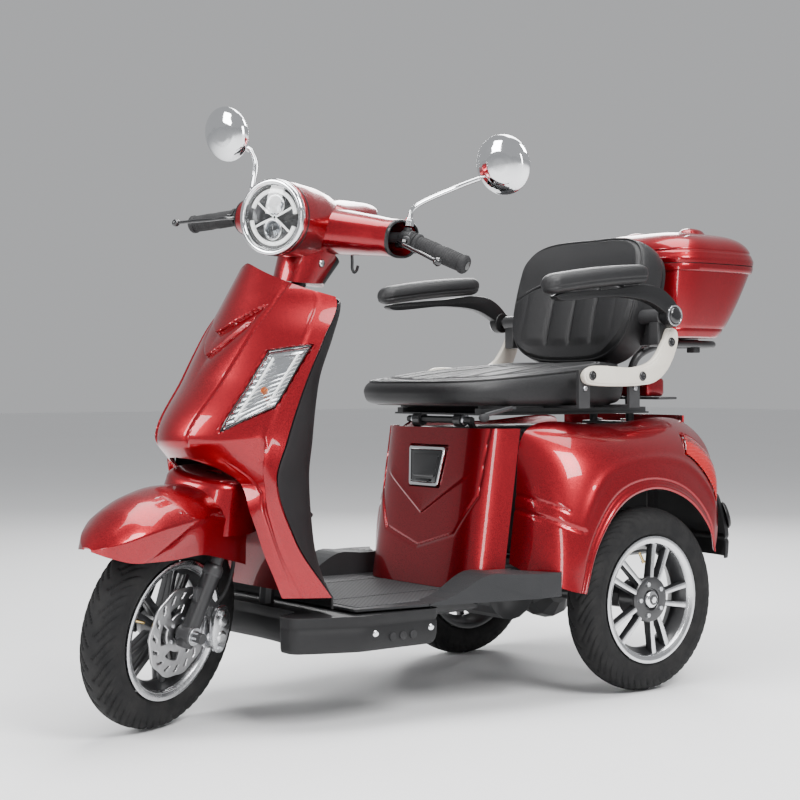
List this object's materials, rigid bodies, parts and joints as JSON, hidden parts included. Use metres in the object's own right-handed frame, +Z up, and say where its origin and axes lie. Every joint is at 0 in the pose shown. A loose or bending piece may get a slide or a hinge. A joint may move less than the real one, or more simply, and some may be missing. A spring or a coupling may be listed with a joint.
{
  "type": "three-wheeled electric mobility scooter",
  "caption": "Three-wheeled electric scooter with a steered front wheel, a padded armchair seat that tilts and slides, sprung wheels and a lidded luggage box behind the seat.",
  "frame": {"origin": "on the ground under the middle of the bounding box, with the steering turned as it rests", "axes": "+Z up, the front faces -Y, +X is the rider's left"},
  "size_m": [0.782, 1.8717, 1.3203],
  "materials": {
    "body_red": "gloss metallic paint",
    "black_plastic": "fine texture",
    "deck_grey": "textured",
    "frame_black": "satin",
    "leather": "soft grain",
    "tyre": "moulded",
    "rubber": "matt",
    "alloy": "machined and black painted",
    "lever_black": "black anodised",
    "disc_steel": "ground",
    "chrome": "polished",
    "clear_lens": "clear",
    "red_lens": "clear red",
    "pale_paint": "satin pale"
  },
  "bodies": {
    "frame": {"main_frame": "frame_black", "floor_pan": "deck_grey", "belly_cover": "black_plastic", "front_shield": "body_red", "leg_shield": "black_plastic", "turn_signal_left": "clear_lens", "turn_signal_right": "clear_lens", "pedestal_cover": "body_red", "side_panel_left": "body_red", "side_panel_right": "body_red", "rear_panel": "body_red", "tail_lamp_left": "red_lens", "tail_lamp_right": "red_lens", "rear_bumper": "black_plastic", "battery_pack": "black_plastic", "controller": "alloy", "shock_left": "frame_black", "shock_right": "frame_black", "box_rack": "frame_black", "top_box_body": "body_red"},
    "charge_door": {"charge_flap": "chrome"},
    "rear_suspension_arm": {"rear_axle": "frame_black", "drive_motor": "frame_black"},
    "rear_wheel_left": {"rear_tyre_left": "tyre", "rear_rim_left": "alloy"},
    "rear_wheel_right": {"rear_tyre_right": "tyre", "rear_rim_right": "alloy"},
    "steering_assembly": {"fork_crown": "frame_black", "front_fender": "body_red", "handlebar": "frame_black", "handlebar_cover": "body_red", "headlight_ring": "chrome", "headlight_lens": "clear_lens", "grip_left": "rubber"},
    "fork_lower": {"fork_sliders": "frame_black", "brake_caliper": "alloy", "brake_hose": "rubber"},
    "front_wheel": {"front_tyre": "tyre", "front_rim": "alloy", "brake_disc": "disc_steel"},
    "throttle": {"throttle_grip": "rubber"},
    "lever_left": {"brake_lever_left": "lever_black"},
    "lever_right": {"brake_lever_right": "lever_black"},
    "mirror_arm_left": {"mirror_stem_left": "chrome"},
    "mirror_arm_right": {"mirror_stem_right": "chrome"},
    "mirror_left": {"mirror_head_left": "chrome"},
    "mirror_right": {"mirror_head_right": "chrome"},
    "key": {"key_switch": "chrome"},
    "seat_hinge_frame": {"seat_base": "frame_black"},
    "seat": {"seat_carriage": "frame_black", "seat_cushion": "leather", "backrest_pad": "leather", "backrest_shell": "black_plastic", "side_bracket_left": "pale_paint", "side_bracket_right": "pale_paint"},
    "armrest_left": {"armrest_arm_left": "black_plastic", "arm_pad_left": "leather"},
    "armrest_right": {"armrest_arm_right": "black_plastic", "arm_pad_right": "leather"},
    "box_cover": {"top_box_lid": "body_red"}
  },
  "joints": [
    {"name": "charge_flap_hinge", "type": "hinge", "parent": "frame", "child": "charge_door", "pos_m": [0, -0.02705, 0.542], "axis": [-1, 0, 0], "range_deg": [0, 110]},
    {"name": "rear_suspension", "type": "hinge", "parent": "frame", "child": "rear_suspension_arm", "pos_m": [0, 0.024, 0.238], "axis": [1, 0, 0], "range_deg": [0, 5], "stiffness_Nm_per_rad": 3500, "springref_deg": -8.02, "deforming": ["shock_left", "shock_right"]},
    {"name": "rear_wheel_spin_left", "type": "hinge", "parent": "rear_suspension_arm", "child": "rear_wheel_left", "pos_m": [0.309, 0.344, 0.205], "axis": [1, 0, 0], "continuous": true},
    {"name": "rear_wheel_spin_right", "type": "hinge", "parent": "rear_suspension_arm", "child": "rear_wheel_right", "pos_m": [-0.309, 0.344, 0.205], "axis": [1, 0, 0], "continuous": true},
    {"name": "steering", "type": "hinge", "parent": "frame", "child": "steering_assembly", "pos_m": [0, -0.695, 0.205], "axis": [0, 0.4226, 0.9063], "range_deg": [-58.2, 11.8]},
    {"name": "front_suspension", "type": "slide", "parent": "steering_assembly", "child": "fork_lower", "axis": [0, 0.4226, 0.9063], "range_m": [0, 0.025], "stiffness_N_per_m": 15000, "springref_m": -0.05},
    {"name": "front_wheel_spin", "type": "hinge", "parent": "fork_lower", "child": "front_wheel", "pos_m": [0.00536, -0.70873, 0.20513], "axis": [0.9191, 0.357, -0.1665], "continuous": true},
    {"name": "throttle_twist", "type": "hinge", "parent": "steering_assembly", "child": "throttle", "pos_m": [-0.21871, -0.38557, 1.05461], "axis": [-0.9324, -0.3541, -0.0728], "range_deg": [0, 60], "stiffness_Nm_per_rad": 0.3, "springref_deg": -17.19},
    {"name": "brake_lever_left", "type": "hinge", "parent": "steering_assembly", "child": "lever_left", "pos_m": [0.21605, -0.25948, 0.97425], "axis": [0.1665, 0.031, 0.9856], "range_deg": [0, 15], "stiffness_Nm_per_rad": 1.5, "springref_deg": -17.19},
    {"name": "brake_lever_right", "type": "hinge", "parent": "steering_assembly", "child": "lever_right", "pos_m": [-0.1994, -0.42086, 1.0495], "axis": [-0.1665, -0.031, -0.9856], "range_deg": [0, 15], "stiffness_Nm_per_rad": 1.5, "springref_deg": -17.19},
    {"name": "mirror_arm_swivel_left", "type": "hinge", "parent": "steering_assembly", "child": "mirror_arm_left", "pos_m": [0.18958, -0.22594, 1.01419], "axis": [0.1665, 0.031, 0.9856], "range_deg": [-30, 30]},
    {"name": "mirror_arm_swivel_right", "type": "hinge", "parent": "steering_assembly", "child": "mirror_arm_right", "pos_m": [-0.19094, -0.37375, 1.08312], "axis": [-0.1665, -0.031, -0.9856], "range_deg": [-30, 30]},
    {"name": "mirror_twist_left", "type": "hinge", "parent": "mirror_arm_left", "child": "mirror_left", "pos_m": [0.26941, -0.08656, 1.12316], "axis": [0.8826, -0.3516, 0.3121], "range_deg": [-25, 25]},
    {"name": "mirror_twist_right", "type": "hinge", "parent": "mirror_arm_right", "child": "mirror_right", "pos_m": [-0.30413, -0.30934, 1.22705], "axis": [-0.2824, -0.8042, 0.5231], "range_deg": [-25, 25]},
    {"name": "key_turn", "type": "hinge", "parent": "steering_assembly", "child": "key", "pos_m": [0.07068, -0.19173, 1.00175], "axis": [-0.357, 0.9336, 0.031], "range_deg": [0, 90]},
    {"name": "seat_tilt", "type": "hinge", "parent": "frame", "child": "seat_hinge_frame", "pos_m": [0, 0.016, 0.605], "axis": [1, 0, 0], "range_deg": [0, 28]},
    {"name": "seat_slide", "type": "slide", "parent": "seat_hinge_frame", "child": "seat", "axis": [0, 1, 0], "range_m": [-0.08, 0.01]},
    {"name": "armrest_hinge_left", "type": "hinge", "parent": "seat", "child": "armrest_left", "pos_m": [0.288, 0.461, 0.842], "axis": [-1, 0, 0], "range_deg": [0, 100]},
    {"name": "armrest_hinge_right", "type": "hinge", "parent": "seat", "child": "armrest_right", "pos_m": [-0.288, 0.461, 0.842], "axis": [-1, 0, 0], "range_deg": [0, 100]},
    {"name": "top_box_hinge", "type": "hinge", "parent": "frame", "child": "box_cover", "pos_m": [0, 0.598, 0.979], "axis": [1, 0, 0], "range_deg": [0, 40]}
  ]
}
